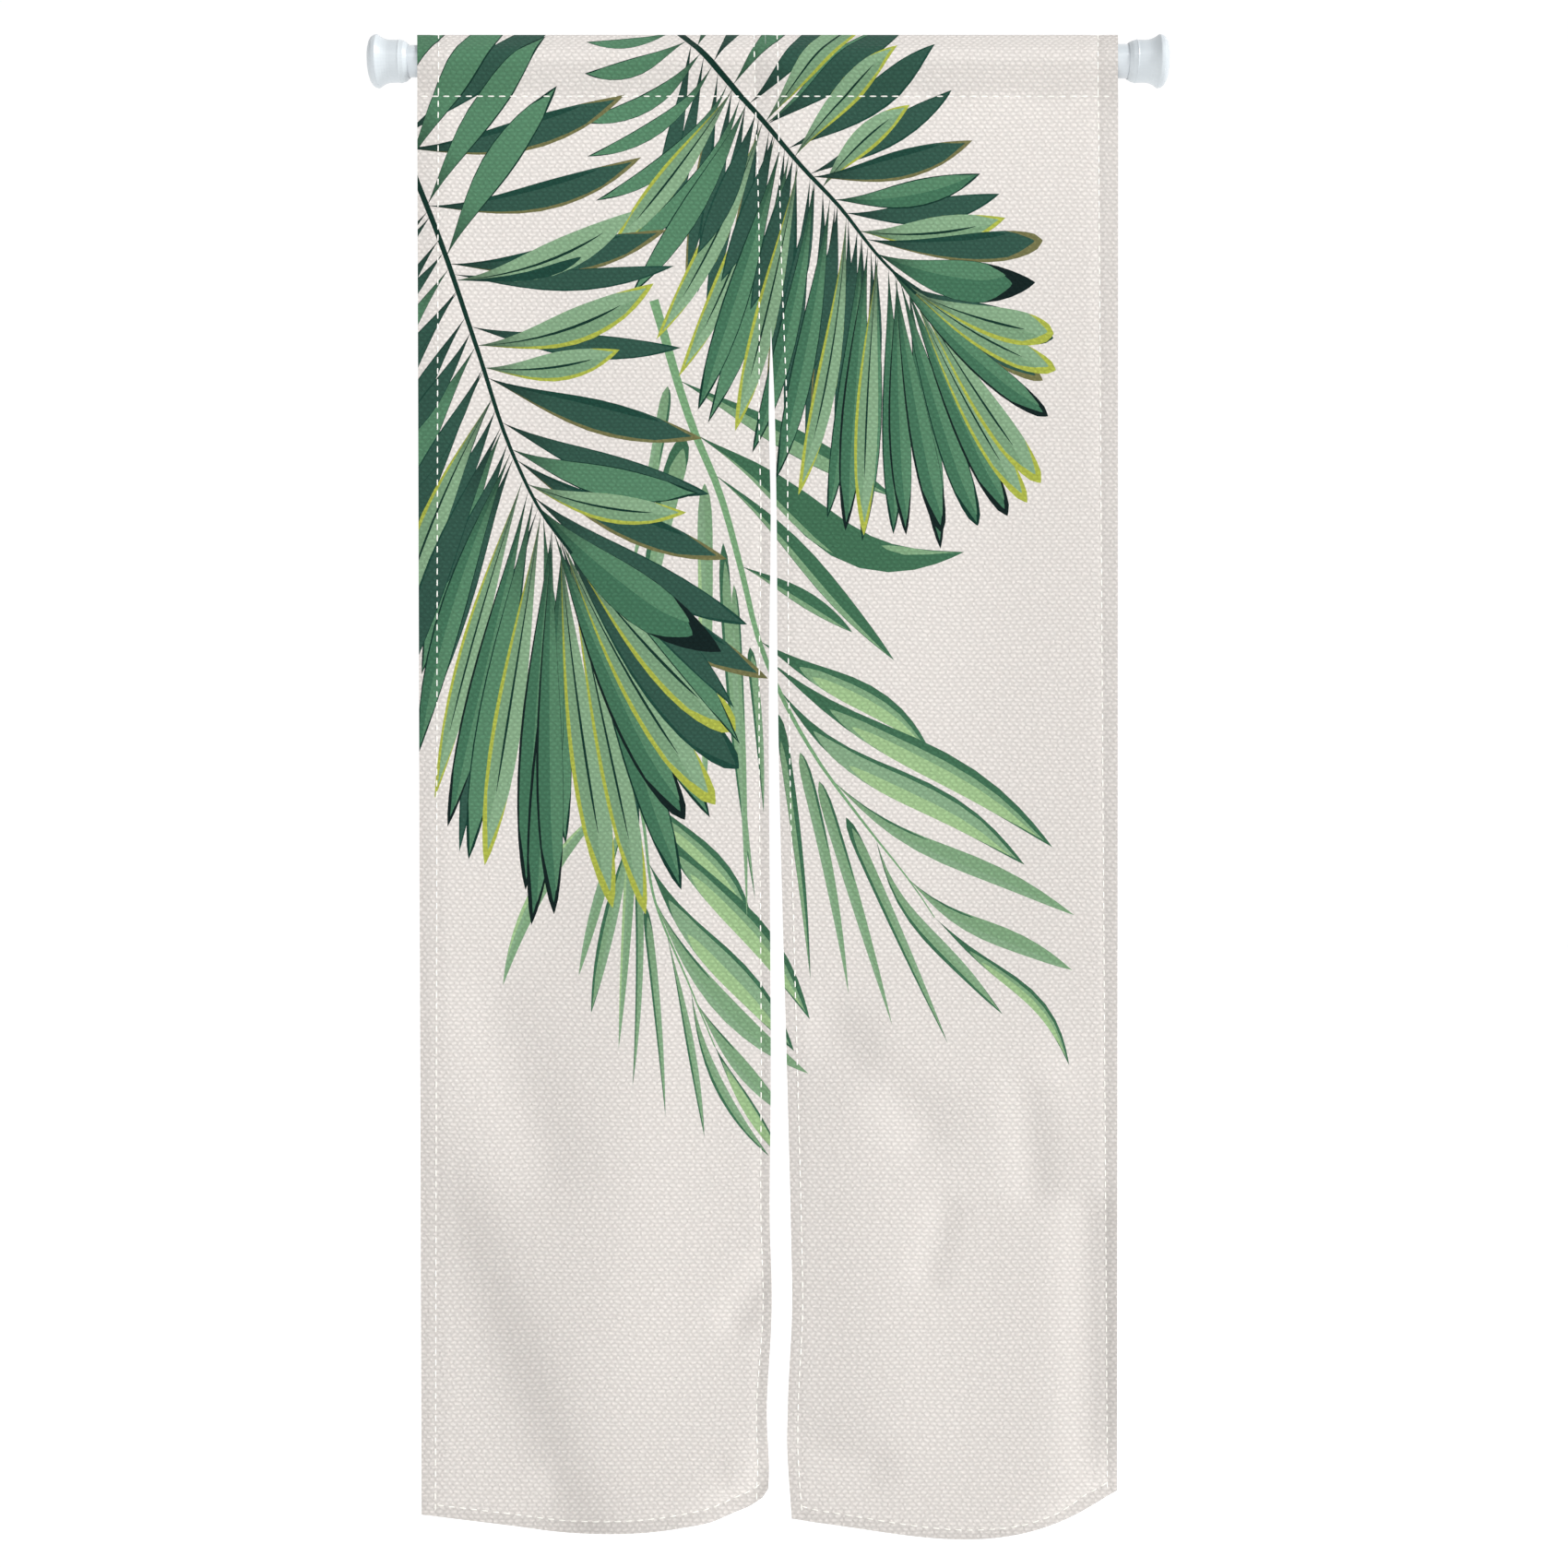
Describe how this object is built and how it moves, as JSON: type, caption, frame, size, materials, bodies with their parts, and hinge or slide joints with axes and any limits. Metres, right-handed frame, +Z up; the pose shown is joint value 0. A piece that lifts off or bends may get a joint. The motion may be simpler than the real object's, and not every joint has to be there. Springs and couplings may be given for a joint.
{
  "type": "noren curtain on a tension rod",
  "caption": "Cloth door curtain in two lengths, sewn together at the top with an open slit below, hanging by its sewn pocket on a telescoping tension rod with flared end caps.",
  "frame": {"origin": "centre of the left end cap's flat face, on the rod's axis", "axes": "+Z up, +X along the rod to the right as seen from the printed front, -Y out of the printed front"},
  "size_m": [0.9674, 0.0624, 1.8203],
  "materials": {
    "cloth": "coarse plain weave, matte, palm leaves printed in greens on the front",
    "rod": "white enamel, satin",
    "cap": "smooth white moulded plastic"
  },
  "bodies": {
    "root": {"panel_left": "cloth", "panel_right": "cloth", "rod_tube_outer": "rod", "rod_tube_inner": "rod", "end_cap_left": "cap", "end_cap_right": "cap"}
  },
  "joints": []
}
